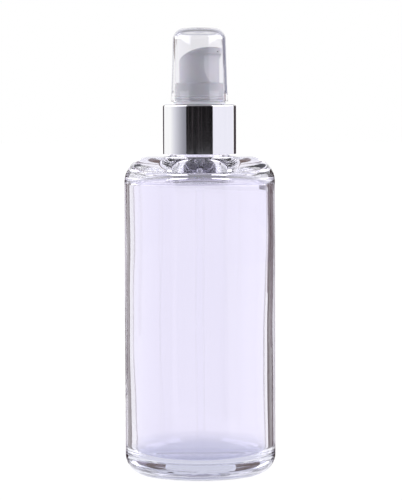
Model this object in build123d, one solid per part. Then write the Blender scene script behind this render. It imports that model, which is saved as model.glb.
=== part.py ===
from build123d import *
import math
import os

os.makedirs("parts", exist_ok=True)

# A clear glass bottle with a screw-on dosing pump and a clear overcap.
# Millimetres. Z is the axis of the whole object, and z = 0 is the surface that it stands on.
# "radius" is always measured from that axis, and heights are above the standing surface unless
# the name says what they start from.

# Clearances
fit_gap = 0.02              # between pieces that stay together
running_gap = 0.05          # between pieces that slide or turn on each other
open_gap = 0.1              # between faces that never touch
thread_gap = 0.3            # radial room between the glass thread and the closure

# Glass bottle
body_radius = 28.3
shoulder_height = 119.8     # where the shoulder meets the neck
shoulder_slope = 1.5        # degrees
shoulder_radius = 9.6
heel_radius = 7.8
side_wall = 3.3
shoulder_wall = 6.4         # the glass is heaviest at the shoulder and the base
base_wall = 6.4
inner_heel_radius = 5.0
inner_shoulder_radius = 4.0
push_up_radius = 17.5       # hollow under the base, inside the standing ring
push_up_depth = 1.2

# Neck finish
neck_radius = 10.75
neck_height = 16.0          # above the shoulder
neck_bore = 7.25
bead_radius = 11.6
bead_start = 1.6            # above the shoulder
bead_height = 1.7
thread_pitch = 3.175
thread_depth = 1.1
thread_base = 1.6
thread_crest = 0.7
glass_thread_turns = 1.5
glass_thread_drop = 2.0     # middle of its top end, below the rim

# Screw closure and its metal shell
closure_wall = 1.25
closure_plate = 0.85
closure_thread_base = 1.5
closure_thread_crest = 0.6
closure_thread_turns = 1.1
shell_wall = 0.35
shell_corner = 0.55
collar_floor_gap = 0.6      # from the shoulder's edge up to the shell's lower rim

# Gasket
gasket_thickness = 0.9
gasket_width = 3.9

# Pump housing
flange_lap = 1.43           # how far the closure's plate laps over the flange
flange_thickness = 0.9
housing_wall = 0.9
upper_bore = 5.5
upper_bore_depth = 3.2
chamber_bore = 4.4
chamber_depth = 12.4
cage_bore = 1.95
cage_depth = 2.7
seat_angle = 41.0           # degrees from the axis
inlet_bore = 1.0
inlet_length = 1.2
spigot_wall = 1.0
spigot_length = 4.0
vent_bore = 0.35

# Inlet ball and the plate over it
ball_radius = 1.4
retainer_thickness = 1.0
retainer_hole = 0.55
retainer_holes = 3

# Dip tube
tube_radius = 1.7
tube_bore = 1.2
tube_floor_gap = 1.6        # above the glass floor
tube_cut = 25.0             # degrees, slanted lower end

# Guide ring
ring_radius = 8.97
ring_wall = 1.35
ring_height = 9.45          # above the housing flange
ring_floor_thickness = 1.7
ring_floor_top = 2.3        # above the housing flange
foot_stand = 0.73           # beyond the ring
foot_thickness = 0.85
foot_lift = 1.5             # above the housing flange
ring_bead_stand = 0.33      # beyond the ring
ring_bead_heights = (3.5, 4.4)  # middle of each bead, above the housing flange
ring_bead_size = 0.5
sleeve_wall = 0.9
guide_tube_wall = 1.1
guide_tube_length = 3.4

# Stem, piston, valve plug and spring
stem_radius = 2.1
stem_bore = 1.1
stem_length = 23.2
port_radius = 0.55
port_height = 2.2           # above the stem's lower end
piston_height = 3.6
piston_lip = 0.7
piston_recess = 2.9
plug_flange_radius = 3.6
plug_flange_thickness = 0.9
plug_stub_length = 1.4
spring_radius = 2.9
spring_wire = 0.5
spring_coils = 4.5
press_stroke = 4.2

# Press head
head_wall = 1.1
head_rise = 13.3            # top of the head above the guide ring
skirt_overlap = 2.55        # how far its skirt reaches into the ring at rest
beak_reach = 1.15           # how far the beak stands beyond the skirt
beak_thickness = 2.6
beak_slope_height = 3.2
beak_turn = -40.0           # degrees from +X, seen from above
dome_shift = 5.0            # highest point of the domed top, towards the beak
dome_crown = 18.0           # radius of the dome's crown
dome_roll = 9.0             # radius where it rolls over into the sides
scoop_depth = 1.45
scoop_radius = 17.5
scoop_middle = 6.7          # below the top
scoop_corner = 1.2
cavity_depth = 7.0
cavity_front = 4.9
hub_wall = 1.3
nozzle_bore = 0.4
nozzle_depth = 1.85         # axis of the nozzle, below the top

# Overcap
cap_lip_stand = 0.25        # beyond the wall just above the lip
cap_lip_height = 4.0
cap_taper = 0.65            # how much narrower the top is than the wall above the lip
cap_height = 27.5
cap_wall = 1.1
cap_roof = 1.2
cap_corner = 4.2
gate_radius = 0.8
gate_depth = 0.15

# Heights and radii that follow from the sizes above
rim_height = shoulder_height + neck_height
flange_floor = rim_height + gasket_thickness
flange_top = flange_floor + flange_thickness
chamber_top = flange_top - upper_bore_depth
chamber_floor = chamber_top - chamber_depth
seat_top = chamber_floor - cage_depth
seat_floor = seat_top - (cage_bore - inlet_bore) / math.tan(math.radians(seat_angle))
socket_top = seat_floor - inlet_length
socket_floor = socket_top - spigot_length
closure_root = neck_radius + thread_depth + thread_gap
closure_radius = closure_root + closure_wall
shell_inner = closure_radius + fit_gap
shell_radius = shell_inner + shell_wall
plate_hole = ring_radius + 2 * open_gap
flange_radius = min(plate_hole + flange_lap, closure_root - open_gap)
plate_floor = flange_top + open_gap
plate_top = plate_floor + closure_plate
shell_top = plate_top + fit_gap + shell_wall
foot_floor = flange_top + foot_lift
ring_top = flange_top + ring_height
ring_bore = ring_radius - ring_wall
ring_bead_radius = ring_radius + ring_bead_stand
foot_radius = ring_radius + foot_stand
ring_floor = flange_top + ring_floor_top
sleeve_radius = upper_bore - fit_gap
sleeve_end = chamber_top + open_gap
piston_top = sleeve_end - open_gap
piston_bottom = piston_top - piston_height
plug_top = piston_bottom - open_gap
stem_bottom = plug_top + open_gap
spring_top = plug_top - plug_flange_thickness
spring_bottom = chamber_floor + fit_gap + retainer_thickness
head_radius = ring_bore - 3 * running_gap
head_top = ring_top + head_rise
skirt_bottom = ring_top - skirt_overlap
cap_floor = foot_floor + foot_thickness + running_gap
cap_mouth = ring_bead_radius + running_gap + fit_gap
cap_lower_radius = ring_bead_radius + running_gap + cap_wall
cap_lip_radius = cap_lower_radius + cap_lip_stand
cap_top_radius = cap_lower_radius - cap_taper
inner_radius = body_radius - side_wall


def turned(points):
    """Solid of revolution about Z, through (radius, height, corner radius) points."""
    path = FilletPolyline(
        *[(radius, height) for radius, height, corner in points],
        radius=[corner for radius, height, corner in points],
        close=True,
    )
    return revolve(Plane.XZ * make_face(path.edges()), Axis.Z)


def tube(outer, inner, bottom, top):
    """Plain tube about Z."""
    return turned([(inner, bottom, 0), (outer, bottom, 0), (outer, top, 0), (inner, top, 0)])


def rod(radius, bottom, top, x=0, y=0):
    """Plain upright cylinder, also used as a drill."""
    return Pos(x, y, bottom) * Cylinder(
        radius, top - bottom, align=(Align.CENTER, Align.CENTER, Align.MIN)
    )


def cross_drill(radius, height, start, end):
    """Drill that runs along +X at a height."""
    return Pos(start, 0, height) * Rot(0, 90, 0) * Cylinder(
        radius, end - start, align=(Align.CENTER, Align.CENTER, Align.MIN)
    )


def thread_ridge(root, crest, root_width, crest_width, start, turns):
    """Right-hand ridge that climbs from start, and stands from the root radius to the crest."""
    sink = 0.1 if crest > root else -0.1
    section = Polyline(
        (root - sink, start - root_width / 2),
        (crest, start - crest_width / 2),
        (crest, start + crest_width / 2),
        (root - sink, start + root_width / 2),
        close=True,
    )
    path = Helix(thread_pitch, thread_pitch * turns, root, center=(0, 0, start))
    return sweep(Plane.XZ * make_face(section), path=path, is_frenet=True)


def glass_thread_start():
    """Height of the middle of the glass thread's lower end."""
    return rim_height - glass_thread_drop - thread_pitch * glass_thread_turns


def glass_bottle():
    """Thick-walled bottle, closed below, with a threaded neck."""
    edge_height = shoulder_height - (body_radius - neck_radius) * math.tan(math.radians(shoulder_slope))
    inner_edge = edge_height - shoulder_wall
    inner_top = shoulder_height - shoulder_wall
    bead_floor = shoulder_height + bead_start
    bead_top = bead_floor + bead_height
    body = turned(
        [
            (0, push_up_depth, 0),
            (push_up_radius - 4.5 * push_up_depth, push_up_depth, 6),
            (push_up_radius, 0, 2.5),
            (body_radius, 0, heel_radius),
            (body_radius, edge_height, shoulder_radius),
            (neck_radius, shoulder_height, 0.9),
            (neck_radius, bead_floor, 0.25),
            (bead_radius, bead_floor + 0.3, 0.4),
            (bead_radius, bead_top - 0.3, 0.4),
            (neck_radius, bead_top, 0.25),
            (neck_radius, rim_height, 0.6),
            (neck_bore, rim_height, 0.6),
            (neck_bore, inner_top, 2.0),
            (inner_radius, inner_edge, inner_shoulder_radius),
            (inner_radius, base_wall, inner_heel_radius),
            (0, base_wall, 0),
        ]
    )
    thread = thread_ridge(
        neck_radius,
        neck_radius + thread_depth,
        thread_base,
        thread_crest,
        glass_thread_start(),
        glass_thread_turns,
    )
    return body + thread


def neck_gasket():
    """Flat washer that seals the pump to the glass rim."""
    outer = neck_radius - open_gap
    return tube(outer, outer - gasket_width, rim_height, flange_floor)


def screw_closure():
    """Threaded plastic cap with a hole for the guide ring."""
    floor = shoulder_height + collar_floor_gap + shell_wall
    body = turned(
        [
            (closure_root, floor, 0.2),
            (closure_radius, floor, 0.2),
            (closure_radius, plate_top, shell_corner - shell_wall),
            (plate_hole, plate_top, 0),
            (plate_hole, plate_floor, 0),
            (closure_root, plate_floor, 0.4),
        ]
    )
    thread = thread_ridge(
        closure_root,
        closure_root - thread_depth,
        closure_thread_base,
        closure_thread_crest,
        glass_thread_start() - thread_pitch / 2,
        closure_thread_turns,
    )
    return body + thread


def collar_shell():
    """Thin polished metal cover over the closure."""
    floor = shoulder_height + collar_floor_gap
    return turned(
        [
            (shell_inner, floor, 0),
            (shell_radius, floor, shell_wall / 3),
            (shell_radius, shell_top, shell_corner),
            (plate_hole + open_gap, shell_top, 0),
            (plate_hole + open_gap, plate_top + fit_gap, 0),
            (shell_inner, plate_top + fit_gap, shell_corner - shell_wall),
        ]
    )


def pump_housing():
    """Flanged barrel with the pump chamber, the ball cage, its seat and the tube's socket."""
    upper_outer = upper_bore + housing_wall
    chamber_outer = chamber_bore + housing_wall
    spigot_outer = tube_radius + spigot_wall
    socket = tube_radius + fit_gap
    body = turned(
        [
            (upper_outer, flange_floor, 0.3),
            (flange_radius, flange_floor, 0),
            (flange_radius, flange_top, 0.2),
            (upper_bore, flange_top, 0),
            (upper_bore, chamber_top, 0),
            (chamber_bore, chamber_top, 0),
            (chamber_bore, chamber_floor, 0),
            (cage_bore, chamber_floor, 0),
            (cage_bore, seat_top, 0),
            (inlet_bore, seat_floor, 0),
            (inlet_bore, socket_top, 0),
            (socket, socket_top, 0),
            (socket, socket_floor, 0),
            (spigot_outer, socket_floor, 0.3),
            (spigot_outer, socket_top, 0.6),
            (chamber_outer, seat_top - 0.6, 0.8),
            (chamber_outer, chamber_top - 1.2, 0.4),
            (upper_outer, chamber_top - 0.4, 0.4),
        ]
    )
    vent = cross_drill(vent_bore, piston_bottom + piston_height / 2, 0, chamber_outer + housing_wall)
    return body - vent


def ball_retainer():
    """Drilled plate that keeps the ball in its cage and carries the spring."""
    outer = chamber_bore - fit_gap
    plate = rod(outer, chamber_floor + fit_gap, spring_bottom)
    for index in range(retainer_holes):
        angle = 2 * math.pi * index / retainer_holes
        reach = cage_bore - retainer_hole
        plate -= rod(
            retainer_hole,
            chamber_floor - retainer_thickness,
            spring_bottom + retainer_thickness,
            reach * math.cos(angle),
            reach * math.sin(angle),
        )
    return plate


def inlet_ball():
    """Ball that rests in the conical seat."""
    slope = math.radians(seat_angle)
    apex = seat_floor - inlet_bore / math.tan(slope)
    return Pos(0, 0, apex + (ball_radius + fit_gap) / math.sin(slope)) * Sphere(ball_radius)


def dip_tube():
    """Suction tube from the housing almost to the glass floor, cut at a slant."""
    bottom = base_wall + tube_floor_gap
    top = socket_top - fit_gap
    body = rod(tube_radius, bottom, top) - rod(tube_bore, bottom - 1, top + 1)
    rise = 2 * tube_radius * math.tan(math.radians(tube_cut))
    wedge = Polyline(
        (-tube_radius - 1, bottom - 1),
        (tube_radius + 1, bottom - 1),
        (tube_radius + 1, bottom + rise + math.tan(math.radians(tube_cut))),
        (-tube_radius - 1, bottom - math.tan(math.radians(tube_cut))),
        close=True,
    )
    return body - extrude(Plane.XZ * make_face(wedge), 2 * tube_radius, both=True)


def guide_ring():
    """White ring that guides the head, clips into the housing and holds the overcap."""
    bead_corners = []
    for middle in ring_bead_heights:
        centre = flange_top + middle
        bead_corners += [
            (ring_radius, centre - ring_bead_size / 2 - 0.15, 0),
            (ring_bead_radius, centre - ring_bead_size / 2 + 0.15, 0.1),
            (ring_bead_radius, centre + ring_bead_size / 2 - 0.15, 0.1),
            (ring_radius, centre + ring_bead_size / 2 + 0.15, 0),
        ]
    guide_bore = stem_radius + running_gap
    guide_outer = guide_bore + guide_tube_wall
    guide_end = ring_floor - guide_tube_length
    floor_under = ring_floor - ring_floor_thickness
    return turned(
        [
            (sleeve_radius, sleeve_end, 0.2),
            (sleeve_radius, flange_top, 0),
            (ring_radius, flange_top, 0),
            (ring_radius, foot_floor, 0),
            (foot_radius, foot_floor, 0.15),
            (foot_radius, foot_floor + foot_thickness, 0.2),
            (ring_radius, foot_floor + foot_thickness, 0),
            *bead_corners,
            (ring_radius, ring_top, 0.35),
            (ring_bore, ring_top, 0.35),
            (ring_bore, ring_floor, 0.3),
            (guide_bore, ring_floor, 0.1),
            (guide_bore, guide_end, 0.1),
            (guide_outer, guide_end, 0.1),
            (guide_outer, floor_under, 0.2),
            (sleeve_radius - sleeve_wall, floor_under, 0.2),
            (sleeve_radius - sleeve_wall, sleeve_end, 0.1),
        ]
    )


def spring():
    """Return spring between the retainer and the valve plug."""
    bottom = spring_bottom + spring_wire / 2 + fit_gap
    top = spring_top - spring_wire / 2 - fit_gap
    path = Helix((top - bottom) / spring_coils, top - bottom, spring_radius, center=(0, 0, bottom))
    section = Plane(origin=path @ 0, z_dir=path % 0) * Circle(spring_wire / 2)
    return sweep(section, path=path, is_frenet=True)


def valve_plug():
    """Plug under the piston: its flange closes the piston, and its stub centres the stem."""
    stub = stem_bore - running_gap
    return turned(
        [
            (0, spring_top, 0),
            (plug_flange_radius, spring_top, 0.2),
            (plug_flange_radius, plug_top, 0.2),
            (stub, plug_top, 0),
            (stub, plug_top + plug_stub_length, 0.2),
            (0, plug_top + plug_stub_length, 0),
        ]
    )


def piston():
    """Sliding seal in the chamber, with a lip that slides on the stem."""
    return turned(
        [
            (piston_recess, piston_bottom, 0.1),
            (chamber_bore - running_gap, piston_bottom, 0.2),
            (chamber_bore - running_gap, piston_top, 0.2),
            (stem_radius + running_gap, piston_top, 0.1),
            (stem_radius + running_gap, piston_top - piston_lip, 0.1),
            (piston_recess, piston_top - piston_lip, 0.2),
        ]
    )


def stem():
    """Hollow stem with two ports at its lower end."""
    body = tube(stem_radius, stem_bore, stem_bottom, stem_bottom + stem_length)
    return body - cross_drill(port_radius, stem_bottom + port_height, -3 * stem_radius, 3 * stem_radius)


def dome():
    """Solid under the domed top: a shallow crown that rolls over into upright sides."""
    outer = head_radius + dome_shift + open_gap
    base = skirt_bottom - 1
    roll_reach = outer - dome_roll
    roll_rise = math.sqrt((dome_crown - dome_roll) ** 2 - roll_reach**2)
    roll_height = head_top - dome_crown + roll_rise
    turn = math.atan2(roll_rise, roll_reach)
    join = (dome_crown * math.cos(turn), head_top - dome_crown + dome_crown * math.sin(turn))
    half_turn = (math.pi / 2 + turn) / 2
    crown_middle = (dome_crown * math.cos(half_turn), head_top - dome_crown + dome_crown * math.sin(half_turn))
    roll_middle = (
        roll_reach + dome_roll * math.cos(turn / 2),
        roll_height + dome_roll * math.sin(turn / 2),
    )
    crown = ThreePointArc((0, head_top), crown_middle, join)
    roll = ThreePointArc(join, roll_middle, (outer, roll_height))
    sides = Polyline((outer, roll_height), (outer, base), (0, base), (0, head_top))
    profile = make_face([*crown.edges(), *roll.edges(), *sides.edges()])
    return Pos(dome_shift, 0, 0) * revolve(Plane.XZ * profile, Axis.Z)


def head_outside():
    """Skirt and beak, cut by the domed top and the finger scoop; the beak points along +X."""
    beak_floor = head_top - beak_thickness
    flare = Pos(beak_reach, 0, beak_floor) * Cone(
        head_radius - beak_reach - open_gap,
        head_radius,
        beak_slope_height,
        align=(Align.CENTER, Align.CENTER, Align.MAX),
    )
    beak = rod(head_radius, beak_floor, head_top + 1, beak_reach)
    skirt = rod(head_radius, skirt_bottom, head_top + 1)
    return ((skirt + flare + beak) & dome()) - finger_scoop()


def scoop_face(height):
    """Distance of the scooped front from the axis, at a height."""
    off_middle = height - (head_top - scoop_middle)
    sag = scoop_radius - math.sqrt(scoop_radius**2 - off_middle**2)
    return head_radius - scoop_depth + sag


def finger_scoop():
    """Solid that hollows the front under the beak."""
    top = head_top - beak_thickness
    middle = head_top - scoop_middle
    bottom = skirt_bottom - 1
    outside = head_radius + 3 * beak_reach
    curve = ThreePointArc(
        (scoop_face(top), top),
        (scoop_face(middle), middle),
        (scoop_face(bottom), bottom),
    )
    sides = Polyline((scoop_face(bottom), bottom), (outside, bottom), (outside, top), (scoop_face(top), top))
    blank = extrude(Plane.XZ * make_face([*curve.edges(), *sides.edges()]), 2 * head_radius, both=True)
    corner = blank.edges().filter_by(Axis.Y).sort_by(Axis.Z)[-2:].sort_by(Axis.X)[0]
    return fillet(corner, scoop_corner)


def press_head():
    """Finger button with a beak, a hub for the stem and the nozzle bore."""
    cavity_top = skirt_bottom + cavity_depth
    cavity = rod(head_radius - head_wall, skirt_bottom - 1, cavity_top)
    room = Pos(cavity_front, 0, skirt_bottom - 2) * Box(
        4 * head_radius, 4 * head_radius, 2 * cavity_depth + 4, align=(Align.MAX, Align.CENTER, Align.MIN)
    )
    socket = stem_radius + fit_gap
    hub = rod(socket + hub_wall, skirt_bottom, cavity_top)
    body = head_outside() - ((cavity & room) - hub)
    body -= rod(socket, skirt_bottom - 1, stem_bottom + stem_length + fit_gap)
    body -= rod(stem_bore, skirt_bottom, head_top - nozzle_depth + nozzle_bore / 2)
    body -= cross_drill(nozzle_bore, head_top - nozzle_depth, 0, head_radius + 2 * beak_reach)
    return Rot(0, 0, beak_turn) * body


def overcap():
    """Clear tapered cover that stands on the guide ring's foot."""
    lip_top = cap_floor + cap_lip_height
    top = cap_floor + cap_height
    roof = top - cap_roof
    return turned(
        [
            (cap_mouth, cap_floor, 0.15),
            (cap_lip_radius, cap_floor, 0.3),
            (cap_lower_radius, lip_top, 6),
            (cap_top_radius, top, cap_corner),
            (gate_radius, top, 0),
            (gate_radius, top - gate_depth, 0),
            (0, top - gate_depth, 0),
            (0, roof, 0),
            (cap_top_radius - cap_wall, roof, cap_corner - cap_wall),
            (cap_lower_radius - cap_wall, lip_top, 0),
        ]
    )


nodes = {
    "glass_bottle": glass_bottle(),
    "neck_gasket": neck_gasket(),
    "screw_closure": screw_closure(),
    "collar_shell": collar_shell(),
    "guide_ring": guide_ring(),
    "pump_housing": pump_housing(),
    "ball_retainer": ball_retainer(),
    "inlet_ball": inlet_ball(),
    "dip_tube": dip_tube(),
    "spring": spring(),
    "valve_plug": valve_plug(),
    "piston": piston(),
    "stem": stem(),
    "press_head": press_head(),
    "overcap": overcap(),
}

for name, shape in nodes.items():
    export_step(shape, f"parts/{name}.step")
    print(name, round(shape.volume, 2), "mm3")
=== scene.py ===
import math

import bmesh
import bpy
from mathutils import Matrix, Vector, noise


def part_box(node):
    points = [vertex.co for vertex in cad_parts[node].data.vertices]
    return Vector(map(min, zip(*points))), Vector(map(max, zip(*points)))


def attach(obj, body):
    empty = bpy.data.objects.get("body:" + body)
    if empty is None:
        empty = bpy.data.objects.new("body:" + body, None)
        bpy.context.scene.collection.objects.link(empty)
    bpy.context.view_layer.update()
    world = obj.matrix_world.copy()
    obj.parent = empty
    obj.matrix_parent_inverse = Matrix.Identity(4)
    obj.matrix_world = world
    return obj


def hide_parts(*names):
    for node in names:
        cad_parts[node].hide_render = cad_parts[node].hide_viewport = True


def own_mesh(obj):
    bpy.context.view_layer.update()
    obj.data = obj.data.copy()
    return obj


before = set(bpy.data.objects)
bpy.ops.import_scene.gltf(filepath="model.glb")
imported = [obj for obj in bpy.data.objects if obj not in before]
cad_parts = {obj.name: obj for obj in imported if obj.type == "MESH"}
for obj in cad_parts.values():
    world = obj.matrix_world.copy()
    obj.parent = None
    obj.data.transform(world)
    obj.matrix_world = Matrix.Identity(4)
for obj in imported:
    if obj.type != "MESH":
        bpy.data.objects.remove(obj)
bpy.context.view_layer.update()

mm = 0.001
print("frame loaded:", len(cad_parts), "nodes")


# shader tools

class Plug:
    # an output socket, so that shader maths reads as maths
    def __init__(self, finish, socket):
        self.finish = finish
        self.socket = socket

    def maths(self, operation, first, second):
        return self.finish.node("ShaderNodeMath", {"operation": operation}, {0: first, 1: second})

    def __add__(self, other):
        return self.maths("ADD", self, other)

    def __mul__(self, other):
        return self.maths("MULTIPLY", self, other)

    __radd__ = __add__
    __rmul__ = __mul__


class Finish:
    # a material, made node by node
    def __init__(self, name, **constants):
        self.material = bpy.data.materials.new(name)
        self.material.use_nodes = True
        self.tree = self.material.node_tree
        self.shader = self.tree.nodes["Principled BSDF"]
        for label, value in constants.items():
            self.shader.inputs[label.replace("_", " ")].default_value = value

    def node(self, kind, settings=None, sockets=None, output=0):
        made = self.tree.nodes.new(kind)
        for key, value in (settings or {}).items():
            if key == "stops":
                self.setStops(made.color_ramp, value)
            else:
                setattr(made, key, value)
        for key, value in (sockets or {}).items():
            self.feed(made.inputs[key], value)
        return Plug(self, made.outputs[output])

    def setStops(self, ramp, stops):
        while len(ramp.elements) < len(stops):
            ramp.elements.new(0.5)
        for element, (place, colour) in zip(ramp.elements, stops):
            element.position = place
            element.color = colour

    def feed(self, socket, value):
        if isinstance(value, Plug):
            self.tree.links.new(value.socket, socket)
        else:
            socket.default_value = value

    def places(self, stretch=(1, 1, 1)):
        where = self.node("ShaderNodeTexCoord", output="Object")
        return self.node("ShaderNodeMapping", {"vector_type": "POINT"}, {"Vector": where, "Scale": stretch})

    def grain(self, scale, detail=2.0, stretch=(1, 1, 1), roughness=0.5):
        return self.node(
            "ShaderNodeTexNoise",
            {"noise_dimensions": "3D"},
            {"Vector": self.places(stretch), "Scale": scale, "Detail": detail, "Roughness": roughness},
            "Fac",
        )

    def blend(self, amount, first, second):
        return self.node(
            "ShaderNodeMix",
            {"data_type": "RGBA"},
            {0: amount, 6: first, 7: second},
            2,
        )

    def relief(self, height, distance, strength=1.0):
        sockets = {"Height": height, "Distance": distance, "Strength": strength}
        self.feed(self.shader.inputs["Normal"], self.node("ShaderNodeBump", None, sockets))

    def vary(self, label, value):
        self.feed(self.shader.inputs[label], value)


# shape tools

def span(node):
    low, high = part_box(node)
    return {"low": low[2] / mm, "high": high[2] / mm, "radius": (high[0] - low[0]) / 2 / mm}


def drawOutline(corners, closed=True):
    # corners are (radius, height, roundness) in millimetres, and roundness is the corner's radius
    shape = bmesh.new()
    points = [shape.verts.new((radius * mm, 0, height * mm)) for radius, height, roundness in corners]
    for first, second in zip(points, points[1:]):
        shape.edges.new((first, second))
    if closed:
        shape.edges.new((points[-1], points[0]))
    for point, (radius, height, roundness) in zip(points, corners):
        if roundness > 0:
            ends = [edge.other_vert(point).co - point.co for edge in point.link_edges]
            turn = math.pi - ends[0].angle(ends[1])
            bmesh.ops.bevel(
                shape, geom=[point], offset=roundness * mm * math.tan(turn / 2), offset_type="OFFSET",
                segments=max(2, round(turn * (4 + 1.2 * roundness))), profile=0.5,
                affect="VERTICES", clamp_overlap=False, material=-1,
            )
    return shape


def divideLong(shape, longest):
    for edge in shape.edges[:]:
        cuts = int(edge.calc_length() / (longest * mm))
        if cuts:
            bmesh.ops.subdivide_edges(shape, edges=[edge], cuts=cuts)


def turnOutline(shape, steps):
    bmesh.ops.spin(
        shape, geom=shape.verts[:] + shape.edges[:], cent=(0, 0, 0), axis=(0, 0, 1),
        angle=2 * math.pi, steps=steps, use_merge=True,
    )
    bmesh.ops.remove_doubles(shape, verts=shape.verts, dist=1e-6)
    bmesh.ops.recalc_face_normals(shape, faces=shape.faces)
    return shape


def makePiece(name, shape, finish, body, stands, sharpAngle=40):
    mesh = bpy.data.meshes.new(name)
    shape.to_mesh(mesh)
    shape.free()
    mesh.shade_smooth()
    mesh.set_sharp_from_angle(angle=math.radians(sharpAngle))
    mesh.materials.append(finish.material)
    piece = bpy.data.objects.new(name, mesh)
    bpy.context.scene.collection.objects.link(piece)
    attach(piece, body)
    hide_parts(stands)
    return piece


def evenShading(piece):
    # large faces keep their own direction right up to a rounded corner
    shading = piece.modifiers.new("evenShading", "WEIGHTED_NORMAL")
    shading.mode = "FACE_AREA"
    shading.weight = 60
    shading.keep_sharp = True
    return piece


def coatNode(node, finish):
    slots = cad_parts[node].data.materials
    slots.clear()
    slots.append(finish.material)


# finishes

glassTint = {
    "wall": (0.915, 0.897, 0.985, 1),
    "base": (0.60, 0.61, 0.75, 1),
    "rampTop": 20.0,           # the ramp runs up to this height
    "baseTop": 6.8,
    "wallFoot": 13.2,
}


def bottleGlassFinish():
    glass = Finish(
        "bottleGlass", Base_Color=glassTint["wall"], Roughness=0.0, IOR=1.5, Transmission_Weight=1.0,
    )
    top = glassTint["rampTop"]
    height = glass.node("ShaderNodeSeparateXYZ", None, {"Vector": glass.places()}, "Z")
    glass.vary("Base Color", glass.node(
        "ShaderNodeValToRGB",
        {"stops": [
            (glassTint["baseTop"] / top, glassTint["base"]),
            (glassTint["wallFoot"] / top, glassTint["wall"]),
        ]},
        {"Fac": height * (1 / (top * mm))},
    ))
    ripple = glass.grain(55, 1.0, (1, 1, 0.35))
    glass.relief(ripple, 0.00002, 0.35)
    return glass


def polishedMetalFinish():
    metal = Finish("polishedCollar", Base_Color=(0.93, 0.93, 0.94, 1), Metallic=1.0, Roughness=0.04)
    streaks = metal.grain(2600, 2.0, (1, 1, 0.03))
    smears = metal.grain(120, 3.0)
    metal.vary("Roughness", 0.02 + streaks * 0.05 + smears * 0.02)
    metal.vary("Base Color", metal.blend(streaks, (0.90, 0.90, 0.92, 1), (0.96, 0.96, 0.97, 1)))
    metal.relief(streaks, 0.000004, 0.25)
    return metal


def whitePlasticFinish():
    white = Finish(
        "whiteMoulding", Base_Color=(0.86, 0.86, 0.885, 1), Roughness=0.34, IOR=1.49, Subsurface_Weight=0.12,
        Subsurface_Scale=0.0012,
    )
    cloud = white.grain(160, 3.0)
    pores = white.grain(5200, 2.0)
    white.vary("Base Color", white.blend(cloud, (0.83, 0.83, 0.875, 1), (0.87, 0.87, 0.905, 1)))
    white.vary("Roughness", 0.28 + cloud * 0.08 + pores * 0.05)
    white.relief(pores, 0.000006, 0.5)
    return white


def clearCapFinish():
    clear = Finish(
        "clearOvercap", Base_Color=(0.935, 0.93, 0.95, 1), Roughness=0.0, IOR=1.49, Transmission_Weight=1.0,
    )
    clear.relief(clear.grain(90, 1.0), 0.00001, 0.2)
    return clear


def plainMouldingFinish(name, low, high, roughness, **constants):
    # natural moulded plastic or rubber, with cloudy colour and a fine skin
    plain = Finish(name, **constants)
    cloud = plain.grain(220, 3.0)
    skin = plain.grain(4200, 2.0)
    plain.vary("Base Color", plain.blend(cloud, low, high))
    plain.vary("Roughness", roughness + skin * 0.12)
    plain.relief(skin, 0.000008, 0.5)
    return plain


def drawnSteelFinish(name, roughness):
    steel = Finish(name, Metallic=1.0)
    lines = steel.grain(3000, 2.0, (1, 1, 0.2))
    steel.vary("Base Color", steel.blend(lines, (0.55, 0.55, 0.57, 1), (0.72, 0.72, 0.73, 1)))
    steel.vary("Roughness", roughness + lines * 0.1)
    return steel


def tubeFinish():
    # very clear polyethylene, hard to see against the light
    clear = Finish(
        "clearTube", Base_Color=(0.95, 0.95, 0.98, 1), Roughness=0.1, IOR=1.1, Transmission_Weight=1.0,
        Alpha=0.08,
    )
    clear.vary("Roughness", 0.06 + clear.grain(400, 2.0) * 0.08)
    return clear


bottleGlass = bottleGlassFinish()
polishedCollar = polishedMetalFinish()
whiteMoulding = whitePlasticFinish()
clearOvercap = clearCapFinish()
clearTube = tubeFinish()
closurePlastic = plainMouldingFinish("closurePlastic", (0.74, 0.74, 0.76, 1), (0.80, 0.80, 0.82, 1), 0.4)
naturalPlastic = plainMouldingFinish(
    "naturalPlastic", (0.93, 0.93, 0.96, 1), (0.97, 0.97, 0.99, 1), 0.2,
    Transmission_Weight=0.9, IOR=1.1, Alpha=0.12,
)
sealFoam = plainMouldingFinish("sealFoam", (0.80, 0.80, 0.78, 1), (0.90, 0.90, 0.88, 1), 0.7)
pistonPlastic = plainMouldingFinish("pistonPlastic", (0.78, 0.80, 0.86, 1), (0.84, 0.86, 0.90, 1), 0.3)
springWire = drawnSteelFinish("springWire", 0.25)
ballSteel = drawnSteelFinish("ballSteel", 0.06)
print("finishes made")


# glass bottle

bottle = {
    "wall": 3.3,
    "shoulderWall": 6.4,
    "innerShoulder": 4.0,
    "base": 6.4,
    "heel": 7.8,
    "innerHeel": 5.0,
    "shoulder": 9.6,
    "shoulderSlope": 1.5,      # degrees
    "neckHeight": 16.0,
    "neck": 10.75,
    "bore": 7.25,
    "bead": 11.6,
    "beadStart": 1.6,
    "beadHeight": 1.7,
    "pushUp": 17.5,
    "pushUpDepth": 1.2,
    "threadPitch": 3.175,
    "threadDepth": 1.1,
    "threadTurns": 1.5,
    "threadDrop": 2.0,
    "threadSunk": 0.1,         # the ridge starts this far inside the neck
    "threadFoot": 0.8,         # half widths of the ridge
    "threadCrest": 0.35,
    "threadSteps": 48,         # in one turn
    "pushUpRun": 4.5,          # the push-up's slope, as run over depth
    "pushUpRound": 6,
    "standRound": 2.5,
    "neckRound": 0.9,
    "beadFoot": 0.25,
    "beadLean": 0.3,
    "beadRound": 0.4,
    "rimRound": 0.6,
    "boreRound": 2.0,
    "longest": 2.0,
    "steps": 256,
}
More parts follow.
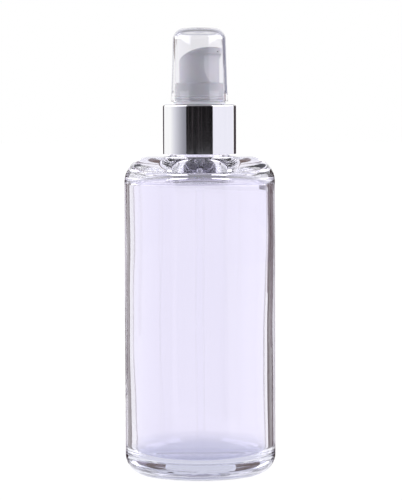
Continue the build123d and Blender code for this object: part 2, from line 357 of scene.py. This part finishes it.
waves = {
    "drift": 0.12,             # how far the inside lies to one side
    "swing": 0.30,             # and how much that changes up the bottle
    "swingLength": 86.0,
    "swingTop": 95.0,
    "ripple": 0.05,
    "rippleRound": 1.6,        # ripples in a turn, and the height of one
    "rippleHeight": 17,
    "growth": 1.0,
    "foot": 6,                 # waves start over this height
    "fadeStart": 3,            # and fade below the shoulder
    "fade": 9,
    "floorRipple": 0.08,
    "neckReach": 12,           # the neck and the middle of the ceiling stay true
    "neckFoot": 60,
}


def wavyInside(shape, outer, shoulderHeight):
    # a blown wall is uneven: thicker on one side, then the other, with soft ripples
    inner = outer - bottle["wall"]
    base = bottle["base"]
    ceiling = shoulderHeight - bottle["shoulderWall"]
    for point in shape.verts:
        radius = point.co.xy.length / mm
        height = point.co.z / mm
        if radius > inner + 0.5 or not base - 0.1 < height < ceiling + 0.1:
            continue
        if radius < waves["neckReach"] and height > waves["neckFoot"]:
            continue
        up = min(1, max(0, (height - base) / waves["foot"]))
        down = min(1, max(0, (shoulderHeight - waves["fadeStart"] - height) / waves["fade"]))
        reach = radius / inner
        around = math.atan2(point.co.y, point.co.x)
        side = -waves["drift"] + waves["swing"] * math.cos(
            2 * math.pi * (height - waves["swingTop"]) / waves["swingLength"]
        )
        turn = waves["rippleRound"]
        place = Vector((math.cos(around) * turn, math.sin(around) * turn, height / waves["rippleHeight"]))
        soft = waves["ripple"] * noise.noise(place) * 2
        growth = waves["growth"] * (height / shoulderHeight - 0.5)
        change = (side * math.cos(around) + soft + growth) * up * down * reach
        point.co.x += math.cos(around) * change * mm
        point.co.y += math.sin(around) * change * mm
        if height < base + 1:
            point.co.z += waves["floorRipple"] * noise.noise(place * 1.3 + Vector((5, 5, 5))) * (1 - up) * mm


def addThread(shape, rim):
    # right-hand ridge, wound as a spin that climbs, with ends that run into the neck
    root = bottle["neck"] - bottle["threadSunk"]
    crest = bottle["neck"] + bottle["threadDepth"]
    start = rim - bottle["threadDrop"] - bottle["threadPitch"] * bottle["threadTurns"]
    foot, top = bottle["threadFoot"], bottle["threadCrest"]
    section = [(root, start - foot), (crest, start - top), (crest, start + top), (root, start + foot)]
    ring = [shape.verts.new((radius * mm, 0, height * mm)) for radius, height in section]
    sides = [shape.edges.new((ring[index - 1], ring[index])) for index in range(4)]
    steps = round(bottle["threadSteps"] * bottle["threadTurns"])
    wound = bmesh.ops.spin(
        shape, geom=ring + sides, cent=(0, 0, 0), axis=(0, 0, 1), steps=steps,
        angle=2 * math.pi * bottle["threadTurns"],
        dvec=(0, 0, bottle["threadPitch"] * bottle["threadTurns"] / steps * mm),
    )
    last = [item for item in wound["geom_last"] if isinstance(item, bmesh.types.BMVert)]
    for end in (ring, last):
        for point in end:
            point.co.xy *= root / (point.co.xy.length / mm)
        bmesh.ops.contextual_create(shape, geom=end)


def makeBottle():
    size = span("glass_bottle")
    outer = size["radius"]
    rim = size["high"]
    shoulderHeight = rim - bottle["neckHeight"]
    edge = shoulderHeight - (outer - bottle["neck"]) * math.tan(math.radians(bottle["shoulderSlope"]))
    inner = outer - bottle["wall"]
    beadLow = shoulderHeight + bottle["beadStart"]
    beadHigh = beadLow + bottle["beadHeight"]
    pushUpTop = bottle["pushUp"] - bottle["pushUpRun"] * bottle["pushUpDepth"]
    shape = drawOutline([
        (0, bottle["pushUpDepth"], 0),
        (pushUpTop, bottle["pushUpDepth"], bottle["pushUpRound"]),
        (bottle["pushUp"], 0, bottle["standRound"]),
        (outer, 0, bottle["heel"]),
        (outer, edge, bottle["shoulder"]),
        (bottle["neck"], shoulderHeight, bottle["neckRound"]),
        (bottle["neck"], beadLow, bottle["beadFoot"]),
        (bottle["bead"], beadLow + bottle["beadLean"], bottle["beadRound"]),
        (bottle["bead"], beadHigh - bottle["beadLean"], bottle["beadRound"]),
        (bottle["neck"], beadHigh, bottle["beadFoot"]),
        (bottle["neck"], rim, bottle["rimRound"]),
        (bottle["bore"], rim, bottle["rimRound"]),
        (bottle["bore"], shoulderHeight - bottle["shoulderWall"], bottle["boreRound"]),
        (inner, edge - bottle["shoulderWall"], bottle["innerShoulder"]),
        (inner, bottle["base"], bottle["innerHeel"]),
        (0, bottle["base"], 0),
    ], closed=False)
    divideLong(shape, bottle["longest"])
    turnOutline(shape, bottle["steps"])
    wavyInside(shape, outer, shoulderHeight)
    addThread(shape, rim)
    bmesh.ops.recalc_face_normals(shape, faces=shape.faces)
    return evenShading(makePiece("clearBottle", shape, bottleGlass, "bottle", "glass_bottle"))


makeBottle()
print("bottle made")


# metal collar

collar = {
    "wall": 0.35,
    "corner": 0.55,
    "lowerEdge": 0.12,
    "hole": 9.27,
    "holeRound": 0.08,
    "longest": 4.0,
    "steps": 256,
}


def makeCollar():
    size = span("collar_shell")
    outer = size["radius"]
    inner = outer - collar["wall"]
    shape = drawOutline([
        (inner, size["low"], 0),
        (outer, size["low"], collar["lowerEdge"]),
        (outer, size["high"], collar["corner"]),
        (collar["hole"], size["high"], collar["holeRound"]),
        (collar["hole"], size["high"] - collar["wall"], 0),
        (inner, size["high"] - collar["wall"], collar["corner"] - collar["wall"]),
    ])
    divideLong(shape, collar["longest"])
    turnOutline(shape, collar["steps"])
    piece = makePiece("mirrorCollar", shape, polishedCollar, "closure", "collar_shell")
    return evenShading(piece)


makeCollar()
print("collar made")


# clear overcap

overcap = {
    "lipHeight": 4.0,
    "lower": 10.45,
    "top": 9.8,
    "lip": 10.7,
    "mouth": 9.37,
    "wall": 1.1,
    "roof": 1.2,
    "corner": 4.2,
    "gate": 0.8,
    "gateDepth": 0.15,
    "gateTaper": 0.1,
    "gateRound": 0.06,
    "mouthRound": 0.15,
    "lipRound": 0.3,
    "lipBlend": 6,
    "longest": 2.5,
    "steps": 224,
}


def makeOvercap():
    size = span("overcap")
    lipTop = size["low"] + overcap["lipHeight"]
    roof = size["high"] - overcap["roof"]
    shape = drawOutline([
        (0, roof, 0),
        (overcap["top"] - overcap["wall"], roof, overcap["corner"] - overcap["wall"]),
        (overcap["lower"] - overcap["wall"], lipTop, 0),
        (overcap["mouth"], size["low"], overcap["mouthRound"]),
        (overcap["lip"], size["low"], overcap["lipRound"]),
        (overcap["lower"], lipTop, overcap["lipBlend"]),
        (overcap["top"], size["high"], overcap["corner"]),
        (overcap["gate"], size["high"], overcap["gateRound"]),
        (overcap["gate"] - overcap["gateTaper"], size["high"] - overcap["gateDepth"], overcap["gateRound"]),
        (0, size["high"] - overcap["gateDepth"], 0),
    ], closed=False)
    divideLong(shape, overcap["longest"])
    turnOutline(shape, overcap["steps"])
    return evenShading(makePiece("clearCap", shape, clearOvercap, "overcap", "overcap"))


makeOvercap()
print("overcap made")


# press head: the moulded button, with every edge softened

head = {"grid": 0.147, "softening": 6, "softness": 0.5}


def makeHead():
    shape = bmesh.new()
    shape.from_mesh(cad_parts["press_head"].data)
    bmesh.ops.remove_doubles(shape, verts=shape.verts, dist=2e-6)
    piece = makePiece("pressButton", shape, whiteMoulding, "head", "press_head", 180)
    skin = piece.modifiers.new("evenSkin", "REMESH")
    skin.mode = "VOXEL"
    skin.voxel_size = head["grid"] * mm
    skin.use_smooth_shade = True
    soft = piece.modifiers.new("softEdges", "SMOOTH")
    soft.factor = head["softness"]
    soft.iterations = head["softening"]
    return piece


makeHead()
print("press head made")


# spring: a wire coil wound over the full height of the CAD spring, at full length

spring = {"radius": 2.9, "wire": 0.5, "coils": 4.5, "stroke": 4.2, "stepsPerCoil": 40, "wireSides": 16}


def makeSpring():
    node = span("spring")
    wire = spring["wire"] / 2
    foot, top = node["low"] + wire, node["high"] - wire
    steps = round(spring["coils"] * spring["stepsPerCoil"])
    shape = bmesh.new()
    start = Matrix.Translation((spring["radius"] * mm, 0, foot * mm))
    section = bmesh.ops.create_circle(
        shape, segments=spring["wireSides"], radius=wire * mm,
        matrix=start @ Matrix.Rotation(math.radians(90), 4, "X"),
    )
    bmesh.ops.spin(
        shape, geom=section["verts"] + shape.edges[:], cent=(0, 0, 0), axis=(0, 0, 1),
        dvec=(0, 0, (top - foot) / steps * mm), angle=math.radians(360 * spring["coils"]), steps=steps,
    )
    bmesh.ops.holes_fill(shape, edges=shape.edges[:])
    bmesh.ops.recalc_face_normals(shape, faces=shape.faces[:])
    piece = makePiece("returnSpring", shape, springWire, "pump_core", "spring")
    left = 1 - spring["stroke"] / (node["high"] - node["low"])
    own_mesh(piece)
    return piece


makeSpring()
print("spring made")


# the other pieces keep their own solids

for node, finish in {
    "guide_ring": whiteMoulding,
    "screw_closure": closurePlastic,
    "neck_gasket": sealFoam,
    "pump_housing": naturalPlastic,
    "ball_retainer": naturalPlastic,
    "inlet_ball": ballSteel,
    "dip_tube": clearTube,
    "valve_plug": naturalPlastic,
    "piston": pistonPlastic,
    "stem": naturalPlastic,
}.items():
    coatNode(node, finish)
print("pump pieces finished")


# studio: a white room, lamps at both sides, and dark boards that draw the edges of the glass and the metal

studio = {
    "floorRadius": 7.0,
    "floorGlow": 0.97,
    "roomStrength": 1.0,
    "screenSteps": 32,
    "boardFoot": 0.0006,       # just clear of the floor
    "boardRadius": 0.5,        # boards behind the object, which the camera doesn't see
    "boardSplit": 0.1075,      # the glass's board ends here, and the collar's boards start
    "boardTop": 0.1392,
    "glassGap": (136, 150),    # degrees round from the camera, as are the other pairs like it
    "glassGapColour": (0.34, 0.27, 0.31),
    "baseGap": (130, 161),     # far brown boards that only the base turns towards, on both sides
    "baseGapRadius": 2.5,
    "baseGapSpan": (0.24, 0.60),
    "baseGapColour": (0.15, 0.095, 0.075),
    "glassEdge": 0.0283,       # the glass's board curves round this place on the X axis
    "leftCollarGap": (-165, -146),
    "rightCollarGap": (135, 166),
    "cardDepth": 0.0056,       # upright cards close beside the glass
    "cardSpan": (0.001, 0.1165),
    "leftCard": (-0.0352, -0.0300),
    "rightCard": (0.0300, 0.0385),
    "cardColour": (0.085, 0.048, 0.058),
    "capCardDepth": 0.003,     # and beside the cap
    "capCardSpan": (0.1425, 0.1668),
    "leftCapCard": (-0.0122, -0.0109),
    "rightCapCard": (0.0107, 0.0150),
    "leftCapColour": (0.42, 0.42, 0.50),
    "rightCapColour": (0.24, 0.24, 0.33),
    "highBoard": (115, 245),   # above and behind
    "highBoardFoot": 0.5,
    "highBoardColour": (0.55, 0.55, 0.64),
    "collarGapColour": (0.05, 0.035, 0.045),
    "frontBoard": (-42, 42),
    "frontColour": (0.012, 0.010, 0.010),
    "frontFoot": 0.08,         # below this the front is pale
    "lowColour": (0.62, 0.62, 0.67),
    "wallRadius": 1.3,
    "wallSplit": 0.26,
    "wallTop": 1.15,
    "floorNear": 0.13,         # the floor's coloured parts start this far out
    "upperGlow": 3.4,
    "frontGlow": 0.30,
    "lightColour": (0.965, 0.955, 1.0),
    "leftLamp": (-140, -42),
    "rightLamp": (42, 132),
    "rightColour": (0.90, 0.89, 0.98),
    "ceilingHeight": 1.15,
    "ceilingGlow": (0.35, 0.35, 0.3675),
}


def glowFinish(name, colour, strength=1.0):
    light = Finish(name, Base_Color=(0, 0, 0, 1), Roughness=1.0, Specular_IOR_Level=0.0)
    light.shader.inputs["Emission Color"].default_value = (*colour, 1)
    light.shader.inputs["Emission Strength"].default_value = strength
    return light


def makeStaged(name, shape, finish, seen=False, lit=True):
    mesh = bpy.data.meshes.new(name)
    shape.to_mesh(mesh)
    shape.free()
    mesh.shade_smooth()
    mesh.materials.append(finish.material)
    staged = bpy.data.objects.new(name, mesh)
    bpy.context.scene.collection.objects.link(staged)
    staged.visible_camera = seen
    staged.visible_diffuse = lit
    staged.visible_shadow = lit
    return staged


def makeScreen(name, angles, profile, finish, lit=True, middle=0.0):
    # a curved screen round the object: profile is (radius, height) points, and 0 degrees is the camera's side
    shape = bmesh.new()
    start = math.radians(angles[0] - 90)
    points = [
        shape.verts.new((middle + math.cos(start) * radius, math.sin(start) * radius, height))
        for radius, height in profile
    ]
    sides = [shape.edges.new(pair) for pair in zip(points, points[1:])]
    bmesh.ops.spin(
        shape, geom=points + sides, cent=(middle, 0, 0), axis=(0, 0, 1),
        angle=math.radians(angles[1] - angles[0]), steps=studio["screenSteps"],
    )
    return makeStaged(name, shape, finish, lit=lit)


def makeCard(name, sides, depth, heights, finish):
    shape = bmesh.new()
    (left, right), (foot, top) = sides, heights
    corners = [(left, foot), (right, foot), (right, top), (left, top)]
    shape.faces.new([shape.verts.new((x, depth, z)) for x, z in corners])
    return makeStaged(name, shape, finish, lit=False)


def makeGaps():
    near, split = studio["boardRadius"], studio["boardSplit"]
    low = [(near, studio["boardFoot"]), (near, split)]
    glassGap = glowFinish("glassGap", studio["glassGapColour"])
    makeScreen("rightGlassGap", studio["glassGap"], low, glassGap, False, studio["glassEdge"])
    start, end = studio["baseGap"]
    patch = [(studio["baseGapRadius"], height) for height in studio["baseGapSpan"]]
    baseGap = glowFinish("baseGap", studio["baseGapColour"])
    makeScreen("leftBaseGap", (-end, -start), patch, baseGap, False)
    makeScreen("rightBaseGap", (start, end), patch, baseGap, False)
    high = [(near, split), (near, studio["boardTop"])]
    collarGap = glowFinish("collarGap", studio["collarGapColour"])
    makeScreen("leftCollarGap", studio["leftCollarGap"], high, collarGap, False)
    makeScreen("rightCollarGap", studio["rightCollarGap"], high, collarGap, False)
    back = [(studio["wallRadius"], studio["highBoardFoot"]), (studio["wallRadius"], studio["wallTop"])]
    makeScreen("highBoard", studio["highBoard"], back, glowFinish("highBoard", studio["highBoardColour"]))


def makeCards():
    heights, depth = studio["cardSpan"], studio["cardDepth"]
    card = glowFinish("sideCard", studio["cardColour"])
    makeCard("leftCard", studio["leftCard"], depth, heights, card)
    makeCard("rightCard", studio["rightCard"], depth, heights, card)
    left = glowFinish("leftCapCard", studio["leftCapColour"])
    right = glowFinish("rightCapCard", studio["rightCapColour"])
    heights, depth = studio["capCardSpan"], studio["capCardDepth"]
    makeCard("leftCapCard", studio["leftCapCard"], depth, heights, left)
    makeCard("rightCapCard", studio["rightCapCard"], depth, heights, right)


def streakFinish(name, colour):
    # a dark board with a few soft upright folds
    light = glowFinish(name, colour)
    folds = light.grain(9, 3.0, (1, 1, 0.05), 0.6)
    light.vary("Emission Color", light.node(
        "ShaderNodeValToRGB",
        {"stops": [
            (0.0, (0.006, 0.006, 0.007, 1)), (0.52, (0.010, 0.009, 0.010, 1)), (0.72, (0.055, 0.045, 0.05, 1)),
        ]},
        {"Fac": folds},
    ))
    return light


def sideFadeFinish(name):
    # dim beside the camera and full at the side
    light = glowFinish(name, (1, 1, 1))
    where = light.node("ShaderNodeTexCoord", output="Object")
    flat = light.node("ShaderNodeVectorMath", {"operation": "MULTIPLY"}, {0: where, 1: (1, 1, 0)})
    aim = light.node("ShaderNodeVectorMath", {"operation": "NORMALIZE"}, {0: flat})
    depth = light.node("ShaderNodeSeparateXYZ", None, {0: aim}, "Y")
    light.vary("Emission Color", light.node(
        "ShaderNodeValToRGB",
        {"stops": [
            (0.12, (0.25, 0.25, 0.29, 1)), (0.20, (0.34, 0.34, 0.39, 1)),
            (0.45, (0.72, 0.72, 0.78, 1)), (0.62, (1.0, 1.0, 1.0, 1)),
        ]},
        {"Fac": 0.5 + depth * 0.5},
    ))
    return light


def makeScreens():
    near = studio["floorNear"]
    far = studio["wallRadius"]
    top = studio["wallTop"]
    wall = [(far, 0.0), (far, studio["wallSplit"])]
    upper = [(far, studio["wallSplit"]), (far, top)]
    floorPart = [(near, studio["boardFoot"]), (far, studio["boardFoot"])]
    dark = streakFinish("frontBoard", studio["frontColour"])
    left = sideFadeFinish("leftLamp")
    right = glowFinish("rightLamp", studio["rightColour"])
    pale = glowFinish("frontLow", studio["lowColour"])
    makeScreen("frontBoard", studio["frontBoard"], [(far, studio["frontFoot"]), wall[1]], dark)
    makeScreen("frontLow", studio["frontBoard"], [wall[0], (far, studio["frontFoot"])], pale)
    makeScreen("leftLamp", studio["leftLamp"], wall, left)
    makeScreen("rightLamp", studio["rightLamp"], wall, right)
    sideLight = glowFinish("sideLight", studio["lightColour"], studio["upperGlow"])
    frontLight = glowFinish("frontLight", studio["lightColour"], studio["frontGlow"])
    makeScreen("frontUpper", studio["frontBoard"], upper, frontLight)
    makeScreen("leftUpper", studio["leftLamp"], upper, sideLight)
    makeScreen("rightUpper", studio["rightLamp"], upper, sideLight)
    makeScreen("frontFloor", studio["frontBoard"], floorPart, pale, False)
    makeScreen("leftFloor", studio["leftLamp"], floorPart, left, False)


def makeRoom():
    floorFinish = Finish("paleFloor", Base_Color=(0.08, 0.08, 0.08, 1), Roughness=0.8, Specular_IOR_Level=0.0)
    floorFinish.shader.inputs["Emission Color"].default_value = (1, 1, 1, 1)
    floorFinish.shader.inputs["Emission Strength"].default_value = studio["floorGlow"]
    shape = bmesh.new()
    bmesh.ops.create_circle(shape, cap_ends=True, segments=96, radius=studio["floorRadius"])
    makeStaged("floor", shape, floorFinish, True)

    shape = bmesh.new()
    bmesh.ops.create_circle(
        shape, cap_ends=True, segments=64, radius=studio["wallRadius"],
        matrix=Matrix.Translation((0, 0, studio["ceilingHeight"])),
    )
    makeStaged("ceiling", shape, glowFinish("ceiling", studio["ceilingGlow"]))

    world = bpy.data.worlds.new("paleRoom")
    bpy.context.scene.world = world
    world.use_nodes = True
    sky = world.node_tree.nodes["Background"]
    sky.inputs["Color"].default_value = (1, 1, 1, 1)
    sky.inputs["Strength"].default_value = studio["roomStrength"]


view = {
    "distance": 1.0,
    "height": 0.142,
    "side": 0.0004,
    "tilt": -3.3,              # degrees
    "roll": -0.2,
    "lens": 192.0,
    "sensor": 36.0,
}


def makeCamera():
    data = bpy.data.cameras.new("camera")
    data.lens = view["lens"]
    data.sensor_width = view["sensor"]
    data.clip_start = 0.05
    data.clip_end = 40
    camera = bpy.data.objects.new("camera", data)
    bpy.context.scene.collection.objects.link(camera)
    camera.location = (view["side"], -view["distance"], view["height"])
    tilt = Matrix.Rotation(math.radians(90 + view["tilt"]), 4, "X")
    roll = Matrix.Rotation(math.radians(view["roll"]), 4, "Z")
    camera.rotation_euler = (tilt @ roll).to_euler()
    bpy.context.scene.camera = camera


makeGaps()
makeCards()
makeScreens()
makeRoom()
makeCamera()
bpy.context.scene.view_settings.view_transform = "Standard"
light = bpy.context.scene.cycles       # thick glass sends light round many times before it leaves
light.max_bounces = 40
light.glossy_bounces = 32
light.transmission_bounces = 32
light.transparent_max_bounces = 24
print("studio made")
